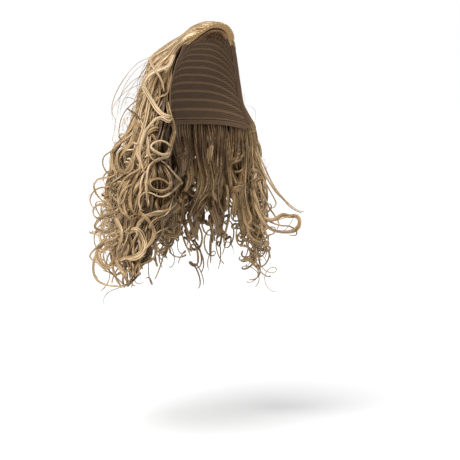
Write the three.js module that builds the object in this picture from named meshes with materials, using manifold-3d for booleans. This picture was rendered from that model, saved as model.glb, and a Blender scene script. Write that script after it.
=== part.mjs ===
// A curly hair fall: a soft half cap that pins on the crown with a comb, bound with narrow bands, with
// three rows of curled hair (wefts) sewn to it. Millimetres, +Z up, the wearer faces -Y, and +X is the
// wearer's left. The origin is the crown seat: the point on the scalp under the middle of the front edge.
import * as THREE from "three";
import { mergeVertices } from "three/addons/utils/BufferGeometryUtils.js";
import Module from "manifold-3d";

const wasm = await Module();
wasm.setup();
const { lerp, clamp, degToRad, smoothstep } = THREE.MathUtils;

// The hair's way from the front edge of the cap to the tips, at nine even stations. Each row gives the face
// against the head (in) and the outermost one (out), at the middle of the back and at the edge beside the
// face, as a distance from the head's upright axis and a height above the ears. turnRight and turnLeft are
// how many degrees round from the back that edge comes. The hair lies fuller on the wearer's right.
const FLOW_COLUMNS = [
  "inBackR", "inBackZ", "inSideR", "inSideZ", "outBackR", "outBackZ", "outSideR", "outSideZ",
  "turnRight", "turnLeft",
];
const FLOW_ROWS = [
  [40, 98, 66, 74, 42, 104, 69, 80, 34, 34],
  [64, 80.5, 77, 52, 76, 96, 90, 63, 37, 37],
  [84, 52.5, 84.5, 24, 121, 70, 119, 42, 40, 40],
  [95, 14, 85.5, -6, 135, 23, 124, 2, 44, 44],
  [92, -34, 84, -40, 150, -25, 126, -36, 55, 54],
  [82, -80, 90, -80, 170, -77, 131, -80, 68, 58],
  [84, -125, 94, -122, 187, -125, 135, -122, 78, 62],
  [96, -170, 98, -165, 197, -172, 136, -165, 83, 65],
  [114, -215, 102, -205, 200, -220, 134, -208, 86, 68],
];
const EDGE_POWER = 3; // how late the side values take over from the back ones towards the edge
const LOCK_PITCH = 0.13; // from one lock to the next, as a share of half the flow's width

// Cap: a net wall over the crown and the back of the head, from a front to a nape station
const CAP = { front: 0.006, nape: 0.46, width: 0.97, clear: 0.5, wall: 1.2, rows: 13, columns: 15 };
// Bands that bind the cap's edges
const FRONT_BAND = { width: 9, thick: 2.4 };
const SIDE_BAND = { width: 6, thick: 1.9 };
// Comb under the front edge that holds the fall in the wearer's own hair; span is a share of the flow's width
const COMB = { span: 0.75, spine: 5, tooth: 20, toothWidth: 2, thick: 1.3, teeth: 11 };
const GAP = 0.8; // between pieces that are sewn together

// Wefts, from the outermost row of hair to the innermost. Each hangs from its sewn row as a sheet of hair
// that waves more and more and parts into curled locks. Stations on the flow: root is the sewn row, from is
// where the curl starts, end is where the sheet parts and tip is where the longest lock ends. depth is where
// the hair lies between the in face (0) and the out face (1), at the root, halfway and at the tip. half is
// half a free lock's width where it starts, halfway and at its tip.
const [CROWN_WEFT, ...UNDER_WEFTS] = [
  {
    name: "crown_weft", locks: 15, root: 0.018, from: 0.32, end: 0.6, tip: 0.88, depth: [0.86, 1, 0.98],
    curl: { turns: 3, radius: 12 }, wall: 3, rows: 14, steps: 8, half: [8, 6, 2], thick: 3,
  },
  {
    name: "back_weft", locks: 13, root: 0.2, from: 0.48, end: 0.78, tip: 1.06, depth: [0.16, 0.4, 0.92],
    curl: { turns: 2.8, radius: 11.8 }, wall: 3, rows: 13, steps: 8, half: [8, 6, 2], thick: 3,
  },
  {
    name: "nape_weft", locks: 11, root: 0.41, from: 0.56, end: 0.8, tip: 1, depth: [0.14, 0.15, 0.28],
    curl: { turns: 2, radius: 6.6 }, wall: 3, rows: 9, steps: 7, half: [8, 6, 2], thick: 2.8,
  },
];
// Where the crown weft turns in at both edges beside the face: a wall at one place across the flow, between
// two stations and two depths, with a free lock at each of the depths in locks
const EDGE = {
  place: 0.955, from: 0.1, end: 0.64, depth: [0.25, 0.96], wall: 3, rows: 5, columns: 3, locks: [0.36, 0.7],
};
const EDGE_LOCK = {
  from: 0.45, end: 0.64, tip: 0.94, curl: { turns: 2, radius: 8 }, steps: 8, half: [7, 5, 2], thick: 3,
};
// A lock of the crown weft that swings out over the wearer's left shoulder, as points in degrees round from
// the back, distance from the head's axis and height above the ears
const SHOULDER_LOCK = {
  path: [
    [54, 146, -80], [60, 141, -104], [64, 129, -122], [69, 124, -133], [74, 128, -134],
    [79, 135, -137], [79, 136, -147], [75, 131, -155], [68, 123, -156], [63, 119, -149],
  ],
  steps: 13, half: [5, 4, 2], thick: 2.6,
};
const TIP_SCATTER = 0.1; // how much earlier on the flow the shortest locks end
const STAGGER = 0.05; // how much deeper every other lock ends, as a share of the depth
const OVERLAP = 0.035; // how far up the sheet, along the flow, a free lock is rooted in it

// Finishes
const BLOND_HAIR = { color: 0xb8935f, roughness: 0.45 };
const BROWN_NET = { color: 0x4a3524, roughness: 0.9 };
const TAN_BAND = { color: 0xb99a66, roughness: 0.8 };
const BROWN_BAND = { color: 0x5b432d, roughness: 0.85 };
const COMB_PLASTIC = { color: 0x6b4a2c, roughness: 0.35 };

// Even, repeatable spread of values from 0 to 1 for the i-th lock; each channel has its own step.
const SPREAD_STEPS = [0.6180339887, 0.7548776662, 0.5698402911];
function spread(i, channel) {
  return ((i + 1) * SPREAD_STEPS[channel]) % 1;
}

function evenly(from, to, count) {
  return Array.from({ length: count }, (_, i) => lerp(from, to, i / (count - 1)));
}

// A value on the parabola through its sizes at the root, halfway and at the tip.
function arcThrough([root, middle, tip], t) {
  return root * (1 - t) * (1 - 2 * t) + middle * 4 * t * (1 - t) + tip * t * (2 * t - 1);
}

// The flow's values at station s, on a smooth curve through the rows that runs straight on past both ends.
function station(s) {
  const last = FLOW_ROWS.length - 1;
  const inside = clamp(s, 0, 1);
  const row = Math.min(Math.floor(inside * last), last - 1);
  const t = inside * last - row;
  const beyond = (s - inside) * last;
  const values = {};
  FLOW_COLUMNS.forEach((name, c) => {
    const [a, b] = [FLOW_ROWS[row][c], FLOW_ROWS[row + 1][c]];
    const startSlope = row === 0 ? b - a : (b - FLOW_ROWS[row - 1][c]) / 2;
    const endSlope = row === last - 1 ? b - a : (FLOW_ROWS[row + 2][c] - a) / 2;
    const square = 3 * (b - a) - 2 * startSlope - endSlope;
    const cube = startSlope + endSlope - 2 * (b - a);
    values[name] = a + startSlope * t + square * t ** 2 + cube * t ** 3;
    values[name] += beyond * (beyond < 0 ? startSlope : endSlope);
  });
  return values;
}

// A point of the flow: u runs from the wearer's right edge (-1) over the middle (0) to the left edge (1).
function flowPoint(u, s, depth) {
  const at = station(s);
  const edge = Math.abs(u) ** EDGE_POWER;
  const r = lerp(lerp(at.inBackR, at.inSideR, edge), lerp(at.outBackR, at.outSideR, edge), depth);
  const z = lerp(lerp(at.inBackZ, at.inSideZ, edge), lerp(at.outBackZ, at.outSideZ, edge), depth);
  const turn = u * degToRad(u < 0 ? at.turnRight : at.turnLeft);
  return new THREE.Vector3(r * Math.sin(turn), r * Math.cos(turn), z);
}

// Unit vectors of the flow at a point: across towards the wearer's left, down the hair, and outward.
function flowFrame(u, s, depth) {
  const near = 0.004;
  const across = flowPoint(u + near, s, depth).sub(flowPoint(u - near, s, depth)).normalize();
  const down = flowPoint(u, s + near, depth).sub(flowPoint(u, s - near, depth)).normalize();
  const outward = across.clone().cross(down).normalize();
  return { across, down, outward };
}

// A closed surface through rings of points. Each ring goes along one face and back along the other, so that
// point j and point (count - 1 - j) face each other and the two ends close as strips.
function loft(rings) {
  const count = rings[0].length;
  const index = [];
  for (let i = 0; i + 1 < rings.length; i++) {
    for (let j = 0; j < count; j++) {
      const a = i * count + j;
      const b = i * count + ((j + 1) % count);
      index.push(a, b, b + count, a, b + count, a + count);
    }
  }
  const end = (rings.length - 1) * count;
  for (let j = 0; j + 1 < count / 2; j++) {
    const [p, q, r, s] = [j, j + 1, count - 2 - j, count - 1 - j];
    index.push(r, q, p, s, r, p);
    index.push(end + p, end + q, end + r, end + p, end + r, end + s);
  }
  const geometry = new THREE.BufferGeometry();
  geometry.setAttribute("position", new THREE.Float32BufferAttribute(rings.flat().flatMap((p) => [...p]), 3));
  geometry.setIndex(index);
  return geometry;
}

// A loft whose faces look outwards, whichever way round its rings go.
function loftOutwards(rings) {
  const solid = loft(rings);
  return solidOf(solid).volume() > 0 ? solid : loft(rings.map((ring) => ring.toReversed()));
}

function solidOf(geometry) {
  const merged = mergeVertices(geometry, 1e-4);
  return new wasm.Manifold(
    new wasm.Mesh({
      numProp: 3,
      vertProperties: merged.attributes.position.array,
      triVerts: new Uint32Array(merged.index.array),
    }),
  );
}

// Solids joined into one body. The largest shell is kept, so small pockets closed in by locks are filled.
function fused(geometries) {
  const joined = geometries.map(solidOf).reduce((whole, piece) => whole.add(piece));
  const shells = joined.decompose().sort((a, b) => b.volume() - a.volume());
  const mesh = shells[0].getMesh();
  const geometry = new THREE.BufferGeometry();
  geometry.setAttribute("position", new THREE.BufferAttribute(mesh.vertProperties, mesh.numProp));
  geometry.setIndex(new THREE.BufferAttribute(mesh.triVerts, 1));
  return geometry;
}

// A wall over the scalp between two stations, across a list of u values, whose faces lie at two heights.
function scalpWall({ from, to, rows, us, low, high }) {
  const rings = evenly(from, to, rows).map((s) => {
    const face = (offset) => (u) => flowPoint(u, s, 0).addScaledVector(flowFrame(u, s, 0).outward, offset);
    return [...us.map(face(high)), ...us.toReversed().map(face(low))];
  });
  return loft(rings);
}

function capNet() {
  const us = evenly(-CAP.width, CAP.width, CAP.columns);
  const { front, nape, rows, clear, wall } = CAP;
  return scalpWall({ from: front, to: nape, rows, us, low: clear, high: clear + wall });
}

// A band beside one edge of the cap. path is a list of [u, s], edge names the flow direction that it runs in,
// and way is 1 or -1 for the side of that edge that the band lies on.
function edgeBand(path, edge, way, { width, thick }) {
  const rings = path.map(([u, s]) => {
    const frame = flowFrame(u, s, 0);
    const away = frame.outward.clone().cross(frame[edge]).multiplyScalar(way);
    const point = (far, out) =>
      flowPoint(u, s, 0).addScaledVector(away, GAP + far).addScaledVector(frame.outward, CAP.clear + out);
    return [point(0, thick), point(width, thick * 0.8), point(width, 0), point(0, 0)];
  });
  return loftOutwards(rings);
}

function frontBand() {
  const path = evenly(-CAP.width, CAP.width, CAP.columns).map((u) => [u, CAP.front]);
  return edgeBand(path, "across", -1, FRONT_BAND);
}

function napeBand() {
  const path = evenly(-CAP.width, CAP.width, CAP.columns).map((u) => [u, CAP.nape]);
  return edgeBand(path, "across", 1, SIDE_BAND);
}

function sideBand(side) {
  const path = evenly(CAP.front, CAP.nape, 2 * CAP.rows).map((s) => [side * CAP.width, s]);
  return edgeBand(path, "down", -side, SIDE_BAND);
}

// A spine bar inside the front edge with teeth that run back along the scalp.
function frontComb() {
  const near = 0.1;
  const stationsPerMm = near / flowPoint(0, 0, 0).distanceTo(flowPoint(0, near, 0));
  const widthPerMm = near / flowPoint(0, 0, 0).distanceTo(flowPoint(near, 0, 0));
  const spineEnd = CAP.front + COMB.spine * stationsPerMm;
  const top = CAP.clear - GAP;
  const bar = scalpWall({
    from: CAP.front,
    to: spineEnd,
    rows: 2,
    us: evenly(-COMB.span, COMB.span, COMB.teeth),
    low: top - COMB.thick,
    high: top,
  });
  const halfTooth = (COMB.toothWidth / 2) * widthPerMm;
  const reach = COMB.span - halfTooth;
  const teeth = evenly(-reach, reach, COMB.teeth).map((u) =>
    scalpWall({
      from: CAP.front + (COMB.spine / 2) * stationsPerMm,
      to: spineEnd + COMB.tooth * stationsPerMm,
      rows: 2,
      us: [u - halfTooth, u + halfTooth],
      low: top - COMB.thick * 0.9,
      high: top - COMB.thick * 0.1,
    }),
  );
  return fused([bar, ...teeth]);
}

function lockTip(weft, i) {
  return weft.tip - TIP_SCATTER * spread(i, 0);
}

// Where a weft's i-th lock runs at station s: a helix round its flow line that opens from the start of the
// curl to the tip. With no curl it is the flow line itself, or a valley where i lies between two locks.
function lockPoint(weft, i, s, curled) {
  const { root, from, tip, depth, curl, locks } = weft;
  const t = clamp((s - from) / (lockTip(weft, i) - from), 0, 1);
  const u = LOCK_PITCH * (i - (locks - 1) / 2);
  const deep = arcThrough(depth, (s - root) / (tip - root)) - curled * STAGGER * t * (i % 2);
  const { across, outward } = flowFrame(u, s, deep);
  const opened = curled * curl.radius * smoothstep(t, 0, 0.8);
  const hand = i % 2 ? 1 : -1;
  const angle = hand * 2 * Math.PI * (curl.turns * t ** 1.1 + spread(i, 1));
  const point = flowPoint(u, s, deep)
    .addScaledVector(outward, opened * Math.cos(angle))
    .addScaledVector(across, opened * Math.sin(angle));
  return { point, across, outward };
}

// The sheet of a weft: a thin wall through its locks' lines, with a valley on either side of each.
function weftSheet(weft) {
  const { root, end, rows, locks, wall } = weft;
  const rings = evenly(root, end, rows).map((s) => {
    const columns = Array.from({ length: 2 * locks + 1 }, (_, j) => lockPoint(weft, (j - 1) / 2, s, j % 2));
    const face = (offset) => ({ point, outward }) => point.clone().addScaledVector(outward, offset);
    return [...columns.map(face(wall / 2)), ...columns.toReversed().map(face(-wall / 2))];
  });
  return loft(rings);
}

// A flat diamond section carried along a line of points without twisting, from a first direction beside it.
function lockLoft(points, beside, { half, thick }) {
  const last = points.length - 1;
  const side = beside.clone();
  const rings = points.map((point, k) => {
    const along = points[Math.min(k + 1, last)].clone().sub(points[Math.max(k - 1, 0)]).normalize();
    side.addScaledVector(along, -side.dot(along)).normalize();
    const out = side.clone().cross(along);
    const wide = arcThrough(half, k / last);
    const deep = thick * arcThrough([0.8, 1, 0.6], k / last);
    const corner = (a, b) => point.clone().addScaledVector(side, a * wide).addScaledVector(out, b * deep);
    return [corner(-1, 0), corner(0, 1), corner(1, 0), corner(0, -1)];
  });
  return loft(rings);
}

function freeLock(weft, i) {
  const stations = evenly(weft.end - OVERLAP, lockTip(weft, i), weft.steps + 1);
  const line = stations.map((s) => lockPoint(weft, i, s, 1));
  return lockLoft(line.map(({ point }) => point), line[0].across, weft);
}

// The wall of hair that turns in from a weft at the edge on one side.
function edgeSheet(side) {
  const u = side * EDGE.place;
  const depths = evenly(...EDGE.depth, EDGE.columns);
  const rings = evenly(EDGE.from, EDGE.end, EDGE.rows).map((s) => {
    const { across } = flowFrame(u, s, EDGE.depth[1]);
    const face = (offset) => (depth) => flowPoint(u, s, depth).addScaledVector(across, offset);
    return [...depths.map(face(EDGE.wall / 2)), ...depths.toReversed().map(face(-EDGE.wall / 2))];
  });
  return loftOutwards(rings);
}

function edgeLocks(weft, side) {
  const i = (weft.locks - 1) / 2 + (side * EDGE.place) / LOCK_PITCH;
  return EDGE.locks.map((depth) => freeLock({ ...weft, ...EDGE_LOCK, depth: [depth, depth, depth] }, i));
}

function shoulderLock() {
  const corners = SHOULDER_LOCK.path.map(([turn, r, z]) => {
    const angle = degToRad(turn);
    return new THREE.Vector3(r * Math.sin(angle), r * Math.cos(angle), z);
  });
  const points = new THREE.CatmullRomCurve3(corners).getSpacedPoints(SHOULDER_LOCK.steps);
  return lockLoft(points, new THREE.Vector3(0, 0, 1), SHOULDER_LOCK);
}

function weftHair(weft, ...more) {
  const locks = Array.from({ length: weft.locks }, (_, i) => freeLock(weft, i));
  return fused([weftSheet(weft), ...locks, ...more]);
}

function crownHair(weft) {
  const edges = [-1, 1].flatMap((side) => [edgeSheet(side), ...edgeLocks(weft, side)]);
  return weftHair(weft, ...edges, shoulderLock());
}

function piece(name, geometry, finish) {
  const mesh = new THREE.Mesh(geometry, new THREE.MeshStandardMaterial({ metalness: 0, ...finish }));
  mesh.name = name;
  return mesh;
}

// The pieces are worked out from the head's middle, level with the ears, and their group puts the crown seat
// at the origin.
const seat = flowPoint(0, 0, 0);
const fall = new THREE.Group();
fall.position.copy(seat).negate();
fall.add(
  piece("cap_net", capNet(), BROWN_NET),
  piece("front_band", frontBand(), TAN_BAND),
  piece("left_band", sideBand(1), BROWN_BAND),
  piece("right_band", sideBand(-1), BROWN_BAND),
  piece("nape_band", napeBand(), BROWN_BAND),
  piece("front_comb", frontComb(), COMB_PLASTIC),
  piece(CROWN_WEFT.name, crownHair(CROWN_WEFT), BLOND_HAIR),
  ...UNDER_WEFTS.map((weft) => piece(weft.name, weftHair(weft), BLOND_HAIR)),
);

const hairFall = new THREE.Group();
hairFall.add(fall);
export default hairFall;
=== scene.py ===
"""A curly blond hair fall on its net half cap, as a studio picture.

The hair follows the same flow as the solid wefts: swept back from the front edge, down the back, and into
loose curls. Each lock is a ring of thin closed strips carried along one curled line. All sizes are in
millimetres until a mesh is made, and in metres there.
"""

import math

import bpy
import numpy as np
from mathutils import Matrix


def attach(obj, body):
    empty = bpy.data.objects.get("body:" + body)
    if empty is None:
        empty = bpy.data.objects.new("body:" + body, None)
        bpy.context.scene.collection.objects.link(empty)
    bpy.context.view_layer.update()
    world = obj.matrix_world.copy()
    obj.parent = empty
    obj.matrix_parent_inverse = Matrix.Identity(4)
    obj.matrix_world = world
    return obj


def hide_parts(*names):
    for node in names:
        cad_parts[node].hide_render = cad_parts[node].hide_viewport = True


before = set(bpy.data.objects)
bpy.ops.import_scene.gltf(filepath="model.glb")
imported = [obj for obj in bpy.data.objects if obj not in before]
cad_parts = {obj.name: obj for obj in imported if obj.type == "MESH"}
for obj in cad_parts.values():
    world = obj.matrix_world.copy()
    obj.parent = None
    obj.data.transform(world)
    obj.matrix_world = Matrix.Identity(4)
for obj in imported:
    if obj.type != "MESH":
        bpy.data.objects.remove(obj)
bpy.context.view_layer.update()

MM = 0.001

# The hair's way from the front edge to the tips, at nine even stations: distance from the cap's upright axis
# and height above its level, on the hair's inner face (in) and on its outer one (out), at the middle of the
# back and at the edge in front. turn_right and turn_left are how many degrees round that edge comes on the
# right as worn, where the hair lies fuller, and on the left.
FLOW_COLUMNS = (
    "in_back_r", "in_back_z", "in_side_r", "in_side_z",
    "out_back_r", "out_back_z", "out_side_r", "out_side_z",
    "turn_right", "turn_left",
)
FLOW_ROWS = np.array([
    (40, 98, 66, 74, 42, 104, 69, 80, 34, 34),
    (64, 80.5, 77, 52, 76, 96, 90, 63, 37, 37),
    (84, 52.5, 84.5, 24, 121, 70, 119, 42, 40, 40),
    (95, 14, 85.5, -6, 135, 23, 124, 2, 44, 44),
    (92, -34, 84, -40, 150, -25, 126, -36, 55, 54),
    (82, -80, 90, -80, 170, -77, 131, -80, 68, 58),
    (84, -125, 94, -122, 187, -125, 135, -122, 78, 62),
    (96, -170, 98, -165, 197, -172, 136, -165, 83, 65),
    (114, -215, 102, -205, 200, -220, 134, -208, 86, 68),
])
EDGE_POWER = 3
SEAT = np.array((0.0, 40.0, 98.0))  # the crown seat, from where the axis meets the level

# Kinds of lock on each weft. root and tip are stations on the flow, scatter is how much shorter the shortest
# lock is, and curl how much of the end curls. depth lies between the in face (0) and the out face (1) at the
# root, halfway and at the tip, spread is how far single locks leave it, and gather how much of that is lost
# further on. stand is how far across they are, from the middle of the back (0) to the edges in front (1), and
# drift how far they cross over. A clump has so many locks, a lock so many hairs and a hair so many points.
# pitch is the curl's way down in one turn and radius its size, half is half a lock's width at its root,
# halfway and at its tip, tone is how light its hair is, contrast how much lighter the outer locks are and the
# inner ones darker, which is painted shade within the hair, and shade how much darker the roots are, partly
# real darker roots and partly painted shade near the cap. First what most kinds have.
MOST_LOCKS = dict(
    scatter=0.4, curl=(0.14, 0.34), gather=0.0, drift=0.12, locks=3, hairs=5, pitch=(26, 50), radius=(9, 15),
    contrast=0.4, shade=0.0,
)
LOCK_KINDS = {
    "crown_weft_locks": dict(
        MOST_LOCKS, node="crown_weft", root=-0.012, tip=1.0, depth=(0.7, 0.84, 0.86), spread=(-0.2, 0.06),
        stand=(0, 0.97), clumps=28, points=54, half=(3.0, 2.4, 0.6), tone=0.6,
    ),
    "crown_weft_edge_locks": dict(
        MOST_LOCKS, node="crown_weft", root=0.0, tip=1.0, scatter=0.42, depth=(0.56, 0.7, 0.66),
        spread=(-0.44, 0.3), gather=0.65, stand=(0.86, 0.98), drift=0.05, clumps=18, points=54,
        radius=(8, 14), half=(2.6, 2.2, 0.6), tone=0.66, contrast=0.8, shade=0.1,
    ),
    "crown_weft_wisps": dict(
        MOST_LOCKS, node="crown_weft", root=-0.008, tip=1.0, scatter=0.46, curl=(0.14, 0.38),
        depth=(0.78, 0.92, 0.96), spread=(-0.1, 0.08), stand=(0, 0.97), drift=0.3, clumps=54, locks=1,
        hairs=4, points=58, pitch=(24, 46), half=(1.4, 1.4, 0.5), tone=0.76,
    ),
    "crown_weft_under_locks": dict(
        MOST_LOCKS, node="crown_weft", root=0.02, tip=0.86, curl=(0.16, 0.32), depth=(0.5, 0.7, 0.78),
        spread=(-0.2, 0.14), stand=(0, 0.95), clumps=16, hairs=3, points=48, pitch=(28, 50), radius=(9, 14),
        half=(3.4, 2.7, 0.6), tone=0.44, shade=0.2,
    ),
    "crown_weft_loose_hairs": dict(
        MOST_LOCKS, node="crown_weft", root=0.0, tip=0.93, scatter=0.6, curl=(0.2, 0.5),
        depth=(0.9, 1.02, 1.04), spread=(-0.12, 0.14), stand=(0, 0.97), drift=0.3, clumps=110, locks=1,
        hairs=1, points=50, pitch=(40, 110), radius=(10, 24), half=(0.34, 0.32, 0.2), tone=0.7,
    ),
    # The back and nape locks' darker roots and lower tones are partly painted shade, deep inside the hair.
    "back_weft_locks": dict(
        MOST_LOCKS, node="back_weft", root=0.2, tip=1.07, scatter=0.36, depth=(0.2, 0.46, 0.8),
        spread=(-0.18, 0.12), stand=(0, 0.96), clumps=26, hairs=6, points=52, half=(3.0, 2.4, 0.6), tone=0.54,
        shade=0.45,
    ),
    "back_weft_wisps": dict(
        MOST_LOCKS, node="back_weft", root=0.21, tip=1.08, curl=(0.14, 0.36), depth=(0.24, 0.54, 0.9),
        spread=(-0.15, 0.1), stand=(0, 0.96), drift=0.25, clumps=44, locks=1, hairs=4, points=56,
        pitch=(24, 46), half=(1.4, 1.4, 0.5), tone=0.7, shade=0.4,
    ),
    # The nape locks' low tone is partly painted shade, where the hair lies deepest.
    "nape_weft_locks": dict(
        MOST_LOCKS, node="nape_weft", root=0.41, tip=1.0, scatter=0.24, curl=(0.12, 0.26),
        depth=(0.16, 0.2, 0.42), spread=(-0.06, 0.12), stand=(0, 0.88), drift=0.1, clumps=16, points=38,
        pitch=(26, 44), radius=(7, 11), half=(3.4, 2.6, 0.6), tone=0.36, shade=0.5,
    ),
}

# Locks at the hair's right edge, each drawn one by one, from the lowest to the topmost: half its width, how
# light it is, and the points that it passes, across and down in pixels of the photograph. First the broad
# ones that lie under the others.
# The darkest of these, beside the neck and the head's edge, are darkened with painted shade, the shadow
# there.
BROAD_LOCKS = (
    (3.4, 0.0, (
        (174, 112), (172, 124), (171, 137), (170, 150), (169, 164), (172, 178), (175, 191), (174, 203),
    )),
    (3.6, 0.04, (
        (168, 112), (165, 124), (161, 137), (158, 150), (158, 162), (161, 174), (165, 187), (166, 198),
    )),
    (3.4, 0.1, (
        (162, 112), (158, 125), (155, 138), (153, 150), (153, 162), (155, 174), (157, 187), (156, 198),
    )),
    (3.0, 0.06, (
        (175, 186), (171, 196), (173, 205), (169, 214), (162, 221), (162, 230), (158, 239), (150, 245),
        (148, 254), (142, 261), (141, 270),
    )),
    (3.0, 0.1, (
        (168, 190), (169, 200), (164, 208), (159, 215), (160, 224), (154, 232), (148, 239), (149, 248),
        (142, 255), (135, 261), (134, 271),
    )),
    (3.0, 0.16, (
        (160, 194), (156, 203), (159, 212), (155, 221), (148, 229), (148, 238), (144, 246), (137, 252),
        (136, 261), (130, 268),
    )),
    (3.0, 0.2, ((152, 196), (150, 210), (147, 223), (143, 235), (139, 247), (134, 258), (129, 270))),
    (2.8, 0.18, ((152, 236), (148, 245), (150, 254), (144, 262), (138, 268), (137, 276), (132, 282))),
    (2.6, 0.24, ((143, 240), (139, 249), (141, 258), (136, 266), (131, 273), (131, 281), (127, 287))),
    (2.6, 0.32, ((134, 245), (130, 254), (132, 263), (128, 271), (123, 278), (124, 286))),
    (3.0, 0.28, ((138, 205), (136, 216), (132, 226), (128, 236), (126, 247), (124, 258), (125, 270))),
    (2.6, 0.32, ((128, 205), (126, 217), (126, 228), (130, 238), (133, 248), (131, 258), (127, 268))),
    (4.0, 0.2, (
        (166, 104), (160, 117), (154, 129), (149, 142), (148, 154), (146, 166), (143, 178), (141, 190),
        (140, 202),
    )),
    (4.0, 0.32, (
        (168, 84), (163, 98), (157, 111), (152, 124), (149, 136), (147, 148), (145, 160), (140, 172),
        (133, 183), (127, 195),
    )),
    (3.6, 0.4, ((126, 136), (118, 145), (113, 155), (112, 166), (110, 177), (107, 188), (107, 198))),
    (3.0, 0.36, ((131, 140), (124, 150), (118, 160), (119, 170), (124, 178), (126, 188))),
    (4.2, 0.42, ((150, 150), (143, 161), (137, 170), (130, 178), (124, 188), (120, 199), (119, 210))),
    (4.0, 0.4, ((150, 155), (146, 166), (141, 176), (136, 187), (132, 198), (130, 209))),
    (4.4, 0.36, (
        (165, 78), (158, 94), (151, 108), (146, 120), (142, 133), (138, 146), (134, 158), (128, 168),
        (120, 177), (112, 186),
    )),
    (4.4, 0.42, (
        (160, 80), (152, 96), (145, 110), (140, 122), (136, 133), (131, 143), (124, 151), (117, 160),
        (112, 170),
    )),
    (4.0, 0.5, (
        (152, 84), (145, 96), (139, 108), (134, 119), (130, 129), (124, 138), (116, 146), (110, 154),
    )),
)
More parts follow.
